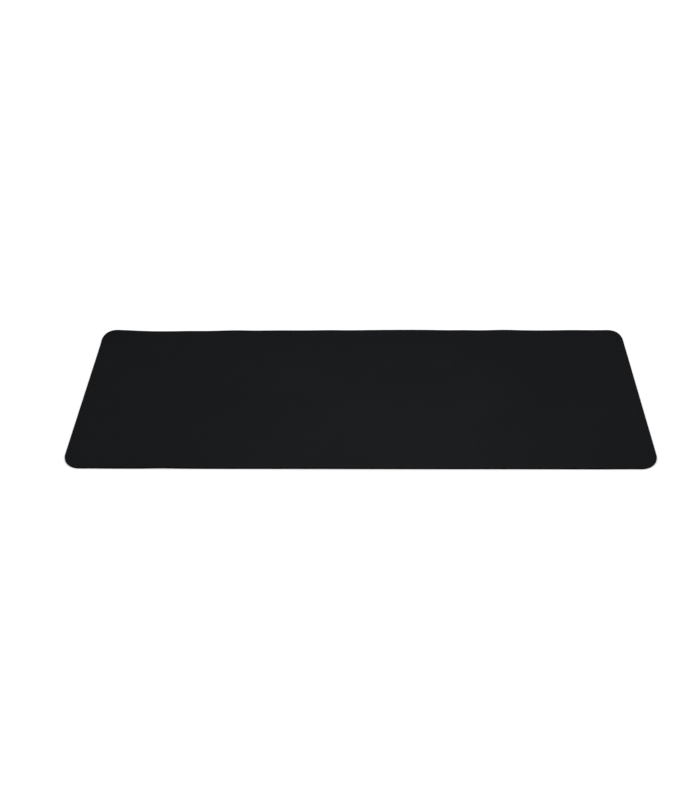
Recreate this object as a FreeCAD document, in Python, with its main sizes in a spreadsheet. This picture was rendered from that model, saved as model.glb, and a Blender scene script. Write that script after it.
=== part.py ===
import FreeCAD, Part
import math
import os

import Sketcher

# Desk mat: a woven face cloth laminated with a film of adhesive to a sponge-rubber base.  The
# blank is die-cut through all three layers, so they share one outline, a rectangle with rounded
# corners.  +X runs along the long side, +Y away from the person at the desk and +Z up.  The
# origin is the middle of the underside, on the desk top.

PARTS_FOLDER = "parts"
SHEET = "dims"

# Driving dimensions, in millimetres.
DRIVING_DIMENSIONS = {
    "mat_length": 800,          # along X
    "mat_depth": 300,           # along Y
    "mat_thickness": 3,         # all three layers together
    "corner_radius": 25,        # outline corners
    "cloth_thickness": 0.5,     # woven face cloth
    "film_thickness": 0.1,      # laminating adhesive
    "rim_radius": 0.3,          # the die rounds the cloth over at the cut edge
    "skin_radius": 0.25,        # moulded skin of the base, where it meets the desk
}
# Heights worked out from the driving dimensions.
DERIVED_DIMENSIONS = {
    "base_thickness": "=mat_thickness - cloth_thickness - film_thickness",
    "cloth_level": "=mat_thickness - cloth_thickness",
}


def make_dimension_sheet(doc):
    """Spreadsheet that every sketch, pad and fillet is bound to."""
    sheet = doc.addObject("Spreadsheet::Sheet", SHEET)
    rows = {**DRIVING_DIMENSIONS, **DERIVED_DIMENSIONS}
    for row, (alias, value) in enumerate(rows.items(), start=1):
        sheet.set(f"A{row}", alias)
        sheet.set(f"B{row}", str(value))
        sheet.setAlias(f"B{row}", alias)
    doc.recompute()
    return sheet


def origin_plane(body, role):
    """One of the body's own origin planes, found by its role, such as XY_Plane."""
    return next(item for item in body.Origin.OriginFeatures if item.Role == role)


def draw_blank_outline(sketch, sheet):
    """Rounded rectangle centred on the sketch's origin: four sides and four tangent corner arcs."""
    half_length = float(sheet.mat_length) / 2
    half_depth = float(sheet.mat_depth) / 2
    radius = float(sheet.corner_radius)
    z_axis = FreeCAD.Vector(0, 0, 1)
    quarter = math.pi / 2

    # Corner centres, counter-clockwise from front right, each with its arc's start angle.
    corners = [
        (half_length - radius, -half_depth + radius, -quarter),
        (half_length - radius, half_depth - radius, 0.0),
        (-half_length + radius, half_depth - radius, quarter),
        (-half_length + radius, -half_depth + radius, 2 * quarter),
    ]
    arcs = []
    for x, y, start in corners:
        circle = Part.Circle(FreeCAD.Vector(x, y, 0), z_axis, radius)
        arcs.append(sketch.addGeometry(Part.ArcOfCircle(circle, start, start + quarter), False))
    sides = []
    for here, there in zip(arcs, arcs[1:] + arcs[:1]):
        begin = sketch.getPoint(here, 2)
        end = sketch.getPoint(there, 1)
        sides.append(sketch.addGeometry(Part.LineSegment(begin, end), False))
        sketch.addConstraint(Sketcher.Constraint("Tangent", here, 2, sides[-1], 1))
        sketch.addConstraint(Sketcher.Constraint("Tangent", sides[-1], 2, there, 1))

    right, back, left, front = sides
    for side in (back, front):
        sketch.addConstraint(Sketcher.Constraint("Horizontal", side))
    for side in (right, left):
        sketch.addConstraint(Sketcher.Constraint("Vertical", side))
    for arc in arcs[1:]:
        sketch.addConstraint(Sketcher.Constraint("Equal", arcs[0], arc))

    origin = (-1, 1)
    corner_radius = sketch.addConstraint(Sketcher.Constraint("Radius", arcs[0], radius))
    length = sketch.addConstraint(Sketcher.Constraint("DistanceX", left, 1, right, 1, 2 * half_length))
    depth = sketch.addConstraint(Sketcher.Constraint("DistanceY", front, 1, back, 1, 2 * half_depth))
    reach_x = sketch.addConstraint(Sketcher.Constraint("DistanceX", *origin, right, 1, half_length))
    reach_y = sketch.addConstraint(Sketcher.Constraint("DistanceY", *origin, back, 1, half_depth))
    sketch.setExpression(f"Constraints[{corner_radius}]", f"{SHEET}.corner_radius")
    sketch.setExpression(f"Constraints[{length}]", f"{SHEET}.mat_length")
    sketch.setExpression(f"Constraints[{depth}]", f"{SHEET}.mat_depth")
    sketch.setExpression(f"Constraints[{reach_x}]", f"{SHEET}.mat_length / 2")
    sketch.setExpression(f"Constraints[{reach_y}]", f"{SHEET}.mat_depth / 2")


def make_layer(doc, sheet, label, thickness, level=None):
    """One die-cut layer: the blank's outline padded up from its own level."""
    body = doc.addObject("PartDesign::Body", label)
    body.Label = label
    sketch = body.newObject("Sketcher::SketchObject", f"{label}_outline")
    sketch.AttachmentSupport = [(origin_plane(body, "XY_Plane"), "")]
    sketch.MapMode = "FlatFace"
    draw_blank_outline(sketch, sheet)
    pad = body.newObject("PartDesign::Pad", f"{label}_pad")
    pad.Profile = sketch
    pad.setExpression("Length", f"{SHEET}.{thickness}")
    if level:
        body.setExpression("Placement.Base.z", f"{SHEET}.{level}")
    doc.recompute()
    return body


def edges_at_height(shape, height):
    """Names of the edges that lie flat at one height, for a fillet to round."""
    tolerance = 1e-6
    return [
        f"Edge{number}"
        for number, edge in enumerate(shape.Edges, start=1)
        if abs(edge.BoundBox.ZMin - height) < tolerance and abs(edge.BoundBox.ZMax - height) < tolerance
    ]


def round_rim(doc, body, height, radius):
    """Rounds every edge of the layer's rim at one height above its own sketch."""
    pad = body.Tip
    fillet = body.newObject("PartDesign::Fillet", f"{body.Label}_rim")
    fillet.Base = (pad, edges_at_height(pad.Shape, height))
    fillet.setExpression("Radius", f"{SHEET}.{radius}")
    doc.recompute()


def make_rubber_base(doc, sheet):
    """Sponge-rubber base; its lower rim carries the round of the moulded skin."""
    base = make_layer(doc, sheet, "rubber_base", "base_thickness")
    round_rim(doc, base, 0.0, "skin_radius")
    return base


def make_adhesive_film(doc, sheet):
    """Laminating adhesive, from edge to edge between the base and the cloth."""
    return make_layer(doc, sheet, "adhesive_film", "film_thickness", level="base_thickness")


def make_face_cloth(doc, sheet):
    """Woven face cloth; the die turns its upper rim down at the cut edge."""
    cloth = make_layer(doc, sheet, "face_cloth", "cloth_thickness", level="cloth_level")
    round_rim(doc, cloth, float(sheet.cloth_thickness), "rim_radius")
    return cloth


def check_document(doc):
    """Stops if any feature of the document failed to recompute."""
    failed = [item.Label for item in doc.Objects if {"Invalid", "Error"} & set(item.State)]
    if failed:
        raise RuntimeError(f"features that did not recompute: {failed}")


def export_layers(layers, folder):
    """Checks each layer's solid and writes it to a STEP file named after its label."""
    os.makedirs(folder, exist_ok=True)
    for layer in layers:
        shape = layer.Shape
        if shape.isNull() or not shape.isValid() or len(shape.Solids) != 1:
            raise RuntimeError(f"{layer.Label} is not one valid solid")
        shape.exportStep(os.path.join(folder, f"{layer.Label}.step"))
        print(f"{layer.Label}: {shape.Volume:.0f} mm3, {shape.BoundBox.ZLength:.2f} mm thick")


def main():
    doc = FreeCAD.newDocument("desk_mat")
    sheet = make_dimension_sheet(doc)
    layers = [
        make_rubber_base(doc, sheet),
        make_adhesive_film(doc, sheet),
        make_face_cloth(doc, sheet),
    ]
    doc.recompute()
    check_document(doc)
    export_layers(layers, PARTS_FOLDER)


main()
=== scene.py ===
import math
from bisect import bisect_right

import bmesh
import bpy
from mathutils import Matrix, Vector


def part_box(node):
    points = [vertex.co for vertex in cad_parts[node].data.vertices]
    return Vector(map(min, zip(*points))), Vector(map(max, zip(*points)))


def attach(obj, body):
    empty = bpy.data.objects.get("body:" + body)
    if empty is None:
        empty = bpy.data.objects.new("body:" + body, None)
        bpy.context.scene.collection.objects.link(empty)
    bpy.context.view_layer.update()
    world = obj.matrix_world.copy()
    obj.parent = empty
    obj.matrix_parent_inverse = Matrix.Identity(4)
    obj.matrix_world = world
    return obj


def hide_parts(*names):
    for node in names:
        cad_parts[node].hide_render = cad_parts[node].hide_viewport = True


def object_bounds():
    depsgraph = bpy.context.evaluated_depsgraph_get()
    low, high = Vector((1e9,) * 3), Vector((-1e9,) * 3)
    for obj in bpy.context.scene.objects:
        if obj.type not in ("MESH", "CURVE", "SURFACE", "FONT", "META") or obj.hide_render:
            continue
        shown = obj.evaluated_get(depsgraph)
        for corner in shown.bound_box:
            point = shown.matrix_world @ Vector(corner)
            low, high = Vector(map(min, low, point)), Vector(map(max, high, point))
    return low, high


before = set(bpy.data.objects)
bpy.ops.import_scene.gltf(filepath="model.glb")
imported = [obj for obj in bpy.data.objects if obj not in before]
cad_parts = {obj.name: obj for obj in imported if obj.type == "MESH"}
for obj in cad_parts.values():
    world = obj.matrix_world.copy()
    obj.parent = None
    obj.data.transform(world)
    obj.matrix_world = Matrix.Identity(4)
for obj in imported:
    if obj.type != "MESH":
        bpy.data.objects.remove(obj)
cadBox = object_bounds()

camera = {
    "place": (0.02253, -1.12957, 0.98250),
    "pitch": 41.245,           # degrees below the horizon
    "yaw": -1.865,             # degrees from +Y towards +X
    "roll": -1.250,
    "lens": 46.63,             # millimetres, as the sensor's width is
    "sensor": 36.0,
    "clip": (0.01, 50.0),
}


def makeCamera():
    eye = bpy.data.cameras.new("camera")
    eye.lens, eye.sensor_width = camera["lens"], camera["sensor"]
    eye.clip_start, eye.clip_end = camera["clip"]
    pitch, yaw, roll = (math.radians(camera[k]) for k in ("pitch", "yaw", "roll"))
    turn = (Matrix.Rotation(-yaw, 4, "Z") @ Matrix.Rotation(math.pi / 2 - pitch, 4, "X")
            @ Matrix.Rotation(roll, 4, "Z"))
    holder = bpy.data.objects.new("camera", eye)
    holder.matrix_world = Matrix.Translation(camera["place"]) @ turn
    bpy.context.scene.collection.objects.link(holder)
    bpy.context.scene.camera = holder


makeCamera()
print("camera set")

# the blank: one die cuts cloth, film and sponge together
blank = {
    "flat": (0.8, 0.3),        # as cut, before it was rolled
    "cornerRadius": 0.025,
    "cornerSteps": 20,
    "rimSteps": 4,
    "holdingRing": 0.0006,     # flat ring inside a rounded rim, to hold its shading
    "gridStep": 0.008,         # spacing of the cuts that let a layer bend
    "sharpFrom": 32,           # degrees between faces at which shading breaks
    "sameSpot": 1e-7,          # a cut this close to a vertex goes through it
    "hair": 1e-6,              # room for rounding, above a level that faces lie on
}

# how the mat lies: it was stored rolled, and its edges haven't settled flat yet
lie = {
    "backReach": 0.038,        # how far in from the back edge its waves run out
    "backWaves": [             # x in metres, lift in millimetres
        (-0.400, 1.6), (-0.370, 2.4), (-0.345, 1.0), (-0.318, 0.0), (-0.295, 0.05), (-0.270, 0.45),
        (-0.235, 0.5), (-0.195, 1.6), (-0.165, 1.0), (-0.125, 1.3), (-0.085, 1.15), (-0.045, 1.6),
        (-0.020, 1.2), (0.020, 1.65), (0.075, 1.9), (0.105, 1.6), (0.135, 1.0), (0.160, 1.1),
        (0.185, 0.65), (0.222, 1.5), (0.250, 0.6), (0.285, 0.2), (0.325, 0.8), (0.350, 0.5),
        (0.375, 0.5), (0.400, 0.1),
    ],
    "frontReach": 0.045,
    "frontWaves": [
        (-0.400, 0.1), (-0.360, 0.6), (-0.320, 0.15), (-0.290, 0.4), (-0.265, 1.15), (-0.235, 0.45),
        (-0.190, 0.0), (-0.110, 0.2), (-0.050, 0.45), (0.000, 0.2), (0.120, 0.1), (0.190, 0.3),
        (0.240, 0.2), (0.290, 0.0), (0.325, 0.0), (0.360, 0.5), (0.400, 0.0),
    ],
    "leftCurl": (0.0030, 0.033),    # a back corner's extra height, and how far in it reaches
    "rightCurl": (0.0031, 0.028),
}
millimetre = 0.001


def smoothStep(low, high, value):
    t = min(max((value - low) / (high - low), 0.0), 1.0)
    return t * t * (3 - 2 * t)


def alongCurve(points, x):     # smooth height through (x, height) pairs
    spots = [p[0] for p in points]
    i = min(max(bisect_right(spots, x) - 1, 0), len(points) - 2)
    (xa, a), (xb, b) = points[i], points[i + 1]
    before = points[max(i - 1, 0)]
    after = points[min(i + 2, len(points) - 1)]
    t = min(max((x - xa) / (xb - xa), 0.0), 1.0)
    slopeA = (b - before[1]) / (xb - before[0]) * (xb - xa)
    slopeB = (after[1] - a) / (after[0] - xa) * (xb - xa)
    return ((2 * t**3 - 3 * t**2 + 1) * a + (t**3 - 2 * t**2 + t) * slopeA
            + (3 * t**2 - 2 * t**3) * b + (t**3 - t**2) * slopeB)


def liftAt(x, y):              # how far the mat is off the desk there
    (left, front, _), (right, back, _) = cadBox
    nearBack = smoothStep(back - lie["backReach"], back, y)
    nearFront = smoothStep(-front - lie["frontReach"], -front, -y)
    height = alongCurve(lie["backWaves"], x) * nearBack * millimetre
    height += alongCurve(lie["frontWaves"], x) * nearFront * millimetre
    for side, (curl, reach) in ((left, lie["leftCurl"]), (right, lie["rightCurl"])):
        height += curl * (1 - smoothStep(0, reach, math.hypot(x - side, y - back)))
    return max(height, 0.0)


def settle(bm):                # bends a flat layer to the way the mat lies
    for v in bm.verts:
        v.co.z += liftAt(v.co.x, v.co.y)


def withEdges(faces):          # the faces, with their edges and vertices
    faces = list(faces)
    edges = dict.fromkeys(e for f in faces for e in f.edges)
    verts = dict.fromkeys(v for f in faces for v in f.verts)
    return faces + list(edges) + list(verts)


def cutAcross(bm, faces, place, normal):
    bmesh.ops.bisect_plane(bm, geom=withEdges(faces), dist=blank["sameSpot"], plane_co=place,
                           plane_no=normal)


def roundRim(bm, face, radius):
    # quarter round inwards from the face's edge, then the holding ring
    turned = [math.pi / 2 * i / blank["rimSteps"] for i in range(blank["rimSteps"] + 1)]
    rings = [(radius * (math.cos(a) - math.cos(b)), radius * (math.sin(b) - math.sin(a)))
             for a, b in zip(turned, turned[1:]) if radius]
    rings.append((blank["holdingRing"], 0))
    for width, rise in rings:
        bmesh.ops.inset_region(bm, faces=[face], use_even_offset=True, use_boundary=True,
                               thickness=width, depth=rise)


def cutLayer(node, topRim, bottomRim):
    # closed slab of the blank's outline in the node's own box, its rims rounded
    low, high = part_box(node)
    bm = bmesh.new()
    bmesh.ops.create_grid(bm, x_segments=1, y_segments=1, size=0.5)
    bmesh.ops.scale(bm, vec=(high.x - low.x, high.y - low.y, 1), verts=bm.verts)
    bmesh.ops.translate(bm, vec=((low.x + high.x) / 2, (low.y + high.y) / 2, low.z + bottomRim),
                        verts=bm.verts)
    bmesh.ops.bevel(bm, geom=bm.verts[:], affect="VERTICES", offset=blank["cornerRadius"],
                    segments=blank["cornerSteps"], profile=0.5, material=-1)
    bm.faces.ensure_lookup_table()
    bottom = bm.faces[0]
    raised = bmesh.ops.extrude_face_region(bm, geom=[bottom], use_keep_orig=True)["geom"]
    top = next(g for g in raised if isinstance(g, bmesh.types.BMFace))
    bmesh.ops.translate(bm, vec=(0, 0, high.z - low.z - topRim - bottomRim), verts=top.verts[:])
    bmesh.ops.recalc_face_normals(bm, faces=bm.faces[:])
    roundRim(bm, top, topRim)
    roundRim(bm, bottom, bottomRim)
    return bm, low, high


def gridCuts(bm, low, high, above=-math.inf):
    # cuts both ways through every face higher than that, so that the layer can bend
    for axis, normal in enumerate((Vector((1, 0, 0)), Vector((0, 1, 0)))):
        count = math.ceil((high[axis] - low[axis]) / blank["gridStep"])
        for i in range(1, count):
            faces = [f for f in bm.faces if f.calc_center_median().z > above]
            cutAcross(bm, faces, normal * (low[axis] + (high[axis] - low[axis]) * i / count), normal)


def makePiece(bm, name, node, material):
    mesh = bpy.data.meshes.new(name)
    bm.to_mesh(mesh)
    bm.free()
    mesh.shade_smooth()
    mesh.set_sharp_from_angle(angle=math.radians(blank["sharpFrom"]))
    mesh.materials.append(material)
    piece = bpy.data.objects.new(name, mesh)
    bpy.context.scene.collection.objects.link(piece)
    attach(piece, "root")
    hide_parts(node)
    print(name + ":", len(mesh.polygons), "faces")
    return piece


class Wire:                    # a socket to reckon with
    def __init__(self, finish, socket):
        self.finish, self.socket = finish, socket

    def also(self, name):      # another output of the same node
        return Wire(self.finish, self.socket.node.outputs[name])

    def reckon(self, operation, *values):
        return self.finish.node("Math", {"operation": operation}, dict(enumerate(values)))

    def __add__(self, other):
        return self.reckon("ADD", self, other)

    def __radd__(self, other):
        return self.reckon("ADD", other, self)

    def __sub__(self, other):
        return self.reckon("SUBTRACT", self, other)

    def __rsub__(self, other):
        return self.reckon("SUBTRACT", other, self)

    def __mul__(self, other):
        return self.reckon("MULTIPLY", self, other)

    def __rmul__(self, other):
        return self.reckon("MULTIPLY", other, self)

    def __rtruediv__(self, other):
        return self.reckon("DIVIDE", other, self)

    def __pow__(self, other):
        return self.reckon("POWER", self, other)

    def __abs__(self):
        return self.reckon("ABSOLUTE", self)

    def sine(self):
        return self.reckon("SINE", self)

    def sign(self):
        return self.reckon("SIGN", self)

    def floor(self):
        return self.reckon("FLOOR", self)


class Finish:                  # the nodes of a material or a world, and their shader
    def __init__(self, owner, shader="Principled BSDF"):
        owner.use_nodes = True
        self.owner, self.tree = owner, owner.node_tree
        self.shader = self.tree.nodes[shader]

    def node(self, kind, settings=None, values=None, output=0):
        made = self.tree.nodes.new("ShaderNode" + kind)
        for key, value in (settings or {}).items():
            setattr(made, key, value)
        for key, value in (values or {}).items():
            self.feed(made.inputs[key], value)
        return Wire(self, made.outputs[output])

    def feed(self, socket, value):
        if isinstance(value, Wire):
            self.tree.links.new(value.socket, socket)
        else:
            socket.default_value = value

    def shade(self, values):
        for key, value in values.items():
            self.feed(self.shader.inputs[key], value)


def noise(f, spot, scale, detail, flat=False, roughness=0.5):
    return f.node("TexNoise", {"noise_dimensions": "2D" if flat else "3D"},
                  {"Vector": spot, "Scale": scale, "Detail": detail, "Roughness": roughness})


def climb(f, value, limits, most=1.0, kind="LINEAR"):    # 0 below the limits, the most above them
    return f.node("MapRange", {"interpolation_type": kind},
                  {"Value": value, "From Min": limits[0], "From Max": limits[1], "To Max": most})


def mixColours(f, share, first, second):
    return f.node("Mix", {"data_type": "RGBA"}, {0: share, 6: first, 7: second}, output=2)


def bump(f, height, relief, strength):
    return f.node("Bump", values={"Strength": strength, "Distance": relief, "Height": height})


cloth = {
    "rim": 0.0003,             # the die turns the upper rim down
    "threadPitch": 0.00042,
    "threadRelief": 0.00013,
    "crimp": 0.45,             # how far a thread rises over its neighbour
    "belly": 0.60,             # how round its back is
    "bellyPower": 0.65,
    "handOver": 0.06,          # how close in height two threads are where one gives way
    "wander": (1.6, 1.1),      # pitches over which the threads stray, across and along
    "wanderScale": 22.0,
    "streaks": (0.7, 6.5),     # fibre streaks in one pitch, along a thread and across it
    "streakRelief": 0.20,
    "slubs": (7.31, 3.17),     # steps that give each crossing a tone of its own
    "cloudScale": 9.0,         # faint patches over the whole mat
    "cloudGrain": 0.55,
    "gapHeights": (0.36, 0.90),    # from all gap to all thread
    "toneShares": (0.45, 0.35, 0.4),    # of slubs, cloud and fibre
    "toneLimits": (0.35, 0.95),
    "black": (0.0078, 0.0084, 0.0097, 1),
    # painted shade: the darker colour painted down between the threads, where the weave's hollows fall
    # in shade
    "gapShade": (0.0013, 0.0014, 0.0016, 1),
    "lint": (0.0136, 0.0145, 0.0164, 1),
    "lintMost": 0.6,
    "roughness": 0.70,
    "gapRoughness": 0.12,      # added down in a gap
    "cloudRoughness": 0.05,    # gained and lost over the patches
    "bumpStrength": 1.0,
    "specular": 0.038,
    "sheen": 0.012,
    "sheenRoughness": 0.45,
}


def clothFinish():
    f = Finish(bpy.data.materials.new("clothWeave"))
    spot = f.node("TexCoord", output="Object")
    wander = noise(f, spot, cloth["wanderScale"], detail=2.0, flat=True)
    place = f.node("SeparateXYZ", values={0: spot})
    perMetre = 1 / cloth["threadPitch"]
    u = place * perMetre + wander * cloth["wander"][0]
    v = place.also("Y") * perMetre + wander * cloth["wander"][1]
    across, along = (u * math.pi).sine(), (v * math.pi).sine()
    # each thread rides over one neighbour and under the next, and the higher one shows
    warp = cloth["crimp"] * across.sign() * along + cloth["belly"] * abs(across) ** cloth["bellyPower"]
    weft = cloth["belly"] * abs(along) ** cloth["bellyPower"] - cloth["crimp"] * along.sign() * across
    height = warp.reckon("MAXIMUM", warp, weft)
    warpShows = climb(f, warp - weft, (-cloth["handOver"], cloth["handOver"]))
    # fine streaks of fibre run with whichever thread shows
    few, many = cloth["streaks"]
    streaks = [noise(f, f.node("CombineXYZ", values={0: u * a, 1: v * b}), 1.0, detail=2.0, flat=True)
               for a, b in ((few, many), (many, few))]
    fibre = f.node("Mix", {"data_type": "FLOAT"}, {0: warpShows, 2: streaks[0], 3: streaks[1]})
    cloud = noise(f, spot, cloth["cloudScale"], detail=4.0, roughness=cloth["cloudGrain"])
    crossing = {0: u.floor() * cloth["slubs"][0], 1: v.floor() * cloth["slubs"][1]}
    slub = noise(f, f.node("CombineXYZ", values=crossing), 1.0, detail=0.0, flat=True)
    onThread = climb(f, height, cloth["gapHeights"])
    # threads keep the black, and the gaps between them get the painted shade
    body = mixColours(f, onThread, cloth["gapShade"], cloth["black"])
    bySlub, byCloud, byFibre = cloth["toneShares"]
    mottle = slub * bySlub + cloud * byCloud + fibre * byFibre
    tone = climb(f, mottle, cloth["toneLimits"], cloth["lintMost"])
    f.shade({
        "Base Color": mixColours(f, tone, body, cloth["lint"]),
        "Roughness": (cloth["roughness"] + cloth["gapRoughness"] * (1 - onThread)
                      + cloth["cloudRoughness"] * (cloud - 0.5)),
        "Specular IOR Level": cloth["specular"],
        "Sheen Weight": cloth["sheen"],
        "Sheen Roughness": cloth["sheenRoughness"],
        "Normal": bump(f, height + fibre * cloth["streakRelief"], cloth["threadRelief"],
                       cloth["bumpStrength"]),
    })
    return f.owner


def makeCloth():
    bm, low, high = cutLayer("face_cloth", cloth["rim"], 0)
    gridCuts(bm, low, high)
    settle(bm)
    return makePiece(bm, "faceCloth", "face_cloth", clothFinish())


film = {
    "tint": (0.0042, 0.0042, 0.0040, 1),
    "stain": (0.0018, 0.0018, 0.0018, 1),
    "smearScale": 420.0,
    "smearRelief": 0.00003,
    "bumpStrength": 0.3,
    "roughness": 0.52,
    "smearRoughness": 0.25,    # added where it is smeared
    "specular": 0.08,
}


def filmFinish():
    f = Finish(bpy.data.materials.new("laminatingFilm"))
    spot = f.node("TexCoord", output="Object")
    smear = noise(f, spot, film["smearScale"], detail=3.0)
    f.shade({
        "Base Color": mixColours(f, smear, film["tint"], film["stain"]),
        "Roughness": film["roughness"] + film["smearRoughness"] * smear,
        "Specular IOR Level": film["specular"],
        "Normal": bump(f, smear, film["smearRelief"], film["bumpStrength"]),
    })
    return f.owner


def makeFilm():
    bm, low, high = cutLayer("adhesive_film", 0, 0)
    gridCuts(bm, low, high)
    settle(bm)
    return makePiece(bm, "adhesiveFilm", "adhesive_film", filmFinish())


base = {
    "skinRim": 0.00025,
    "hollow": 0.00012,         # the squeezed sponge springs back a little short of the cut
    "wallCuts": 5,
    "rimKept": 1e-5,           # a vertex this close to a rim is part of it
    "gripPitch": 0.0042,       # side of one embossed lozenge
    "gripGroove": 0.00038,     # half the width of a groove between two of them
    "gripDepth": 0.00034,
    "gripLeast": 0.25,         # smallest share of a lozenge at the cut edge that is embossed
    "gripMerge": 0.00006,      # cuts that meet closer than this share a corner
    "black": (0.0016, 0.0016, 0.0017, 1),
    # painted shade: the darker colour painted inside the open pores, where the hollows fall in shade
    "poreShade": (0.0004, 0.0004, 0.0004, 1),
    "dust": (0.0036, 0.0036, 0.0037, 1),
    "cutLimits": (0.45, 0.85),    # how upright a face is, from all skin to all cut sponge
    "poreSizes": (0.00042, 0.00019),
    "poreLimits": (0.34, 0.66),    # from all pore to all rubber, in pore sizes
    "poreRelief": 0.00015,
    "patchScale": 900.0,       # of the patches where pores are smaller
    "patchShare": 0.5,
    "grainScale": 2600.0,
    "grainRelief": 0.2,
    "cloudScale": 14.0,
    "dustShares": (0.6, 0.4),    # of cloud and grain
    "dustLimits": (0.45, 0.85),
    "dustMost": 0.5,
    "bumpStrength": 0.9,
    "roughness": 0.62,
    "cutRoughness": 0.22,      # added on the cut sponge
    "grainRoughness": 0.10,    # gained and lost over the grain
    "specular": 0.03,
}


def cellWalls(f, spot, size, patch):    # 0 in an open cell, 1 on the rubber round it
    cells = f.node("TexVoronoi", {"feature": "F1"}, {"Vector": spot, "Scale": 1 / size})
    return climb(f, cells + patch * base["patchShare"], base["poreLimits"], kind="SMOOTHSTEP")


def spongeFinish():
    f = Finish(bpy.data.materials.new("spongeRubber"))
    spot = f.node("TexCoord", output="Object")
    facing = f.node("SeparateXYZ", values={0: f.node("NewGeometry", output="True Normal")})
    cutFace = climb(f, 1 - abs(facing.also("Z")), base["cutLimits"], kind="SMOOTHSTEP")
    patch = noise(f, spot, base["patchScale"], detail=1.0)
    large, small = (cellWalls(f, spot, size, patch) for size in base["poreSizes"])
    pores = large.reckon("MINIMUM", large, small)
    grain = noise(f, spot, base["grainScale"], detail=3.0)
    cloud = noise(f, spot, base["cloudScale"], detail=4.0)
    # on the cut sponge the open pores get the painted shade, the rest stays black
    body = mixColours(f, (1 - pores) * cutFace, base["black"], base["poreShade"])
    byCloud, byGrain = base["dustShares"]
    dusty = climb(f, cloud * byCloud + grain * byGrain, base["dustLimits"], base["dustMost"])
    f.shade({
        "Base Color": mixColours(f, dusty, body, base["dust"]),
        "Roughness": (base["roughness"] + base["cutRoughness"] * cutFace
                      + base["grainRoughness"] * (grain - 0.5)),
        "Specular IOR Level": base["specular"],
        "Normal": bump(f, pores * cutFace + grain * base["grainRelief"], base["poreRelief"],
                       base["bumpStrength"]),
    })
    return f.owner


def hollowWall(bm, low, high):
    # the cut wall curves in between its two rims
    bottom, top = low.z + base["skinRim"], high.z
    for i in range(1, base["wallCuts"]):
        cutAcross(bm, bm.faces, (0, 0, bottom + (top - bottom) * i / base["wallCuts"]), (0, 0, 1))
    bm.normal_update()
    inner = [v for v in bm.verts if bottom + base["rimKept"] < v.co.z < top - base["rimKept"]]
    moves = [v.normal * -base["hollow"] * math.sin(math.pi * (v.co.z - bottom) / (top - bottom))
             for v in inner]
    for v, move in zip(inner, moves):
        v.co += move


def embossGrip(bm, low, high):
    # lozenges that stand on the desk, with a net of grooves pressed in between them
    side = base["gripPitch"]
    level = low.z + blank["hair"]
    count = int((high.x - low.x + high.y - low.y) / 2 / math.sqrt(2) / side) + 1
    for lean in (1, -1):
        normal = Vector((1, lean, 0)).normalized()
        for i in range(-count, count + 1):
            underside = [f for f in bm.faces if f.calc_center_median().z < level]
            cutAcross(bm, underside, normal * i * side, normal)
    onDesk = [v for v in bm.verts if v.co.z < level]
    bmesh.ops.remove_doubles(bm, verts=onDesk, dist=base["gripMerge"])
    cells = [f for f in bm.faces if f.calc_center_median().z < level
             and f.calc_area() > side**2 * base["gripLeast"]]
    large = set(cells)
    net = [v for v in bm.verts if v.link_faces and large.issuperset(v.link_faces)]
    bmesh.ops.inset_individual(bm, faces=cells, thickness=base["gripGroove"], depth=0,
                               use_even_offset=True)
    bmesh.ops.translate(bm, vec=(0, 0, base["gripDepth"]), verts=net)


def makeBase():
    bm, low, high = cutLayer("rubber_base", 0, base["skinRim"])
    hollowWall(bm, low, high)
    gridCuts(bm, low, high, above=low.z + blank["hair"])    # the underside has its own net
    embossGrip(bm, low, high)
    manySided = [f for f in bm.faces if len(f.verts) > 4]
    bmesh.ops.triangulate(bm, faces=manySided, ngon_method="BEAUTY")    # no slivers
    settle(bm)
    return makePiece(bm, "rubberBase", "rubber_base", spongeFinish())


rubberBase = makeBase()
adhesiveFilm = makeFilm()
faceCloth = makeCloth()

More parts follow.
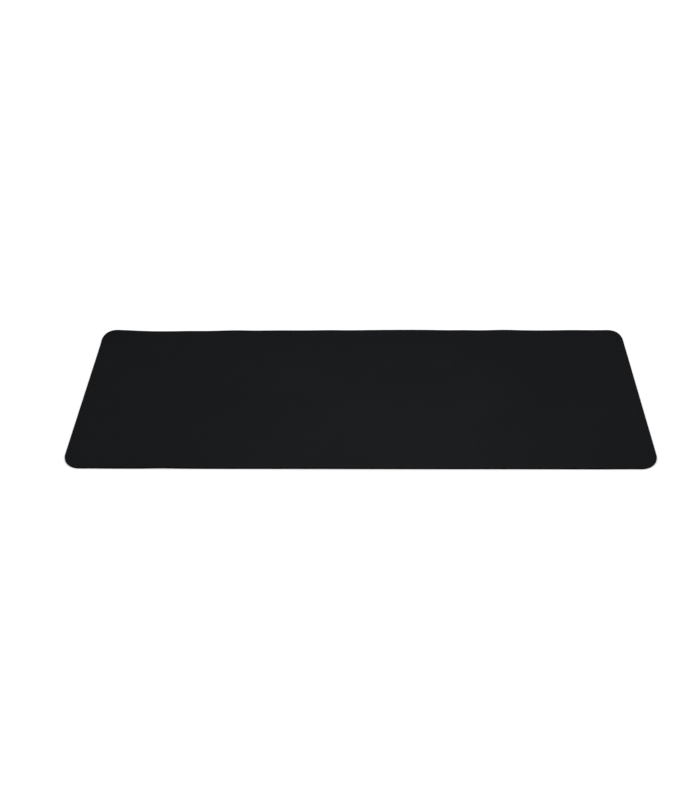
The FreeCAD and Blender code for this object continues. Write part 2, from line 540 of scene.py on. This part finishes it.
studio = {
    "floorSize": 40.0,
    "floorGap": 0.00005,       # floor below the mat, so that the two never flicker
    "floorGrey": 0.82,
    "floorLevel": 1.11,        # the floor is lit evenly to this all over
    "dome": 0.62,              # even light from all round
    "backdrop": 1.05,          # what the camera sees beyond the floor
    "boxPlace": (0.05, -0.17, 0.54),
    "boxSize": (0.36, 0.28),
    "boxLight": 0.68,          # its light on the floor straight below, beside the dome's
}


def makeFloor():
    bm = bmesh.new()
    bmesh.ops.create_grid(bm, x_segments=1, y_segments=1, size=studio["floorSize"] / 2)
    mesh = bpy.data.meshes.new("floor")
    bm.to_mesh(mesh)
    bm.free()
    floor = bpy.data.objects.new("floor", mesh)
    floor.location.z = -studio["floorGap"]
    bpy.context.scene.collection.objects.link(floor)
    # paper that glows a little where the softbox leaves it short
    f = Finish(bpy.data.materials.new("floorPaper"))
    x, y, height = studio["boxPlace"]
    away = f.node("VectorMath", {"operation": "DISTANCE"},
                  {0: f.node("TexCoord", output="Object"), 1: (x, y, 0)}, output="Value")
    share = 1 / (1 + away * away * (1 / height**2)) ** 2
    light = studio["dome"] + studio["boxLight"] * share
    f.shade({
        "Base Color": (studio["floorGrey"],) * 3 + (1,),
        "Roughness": 1.0,
        "Specular IOR Level": 0.0,
        "Emission Color": studio["floorLevel"] - studio["floorGrey"] * light,
        "Emission Strength": 1.0,
    })
    mesh.materials.append(f.owner)


def makeLights():
    world = bpy.data.worlds.new("studio")
    bpy.context.scene.world = world
    sky = Finish(world, "Background")
    seen = sky.node("LightPath", output="Is Camera Ray")
    sky.shade({
        "Color": (1, 1, 1, 1),
        "Strength": studio["dome"] + seen * (studio["backdrop"] - studio["dome"]),
    })
    lamp = bpy.data.lights.new("softbox", "AREA")
    lamp.shape = "RECTANGLE"
    lamp.size, lamp.size_y = studio["boxSize"]
    lamp.energy = studio["boxLight"] * math.pi**2 * studio["boxPlace"][2] ** 2
    holder = bpy.data.objects.new("softbox", lamp)
    holder.location = studio["boxPlace"]
    holder.visible_camera = False
    bpy.context.scene.collection.objects.link(holder)


makeFloor()
makeLights()
bpy.context.scene.view_settings.view_transform = "Standard"
print("floor and lights set")
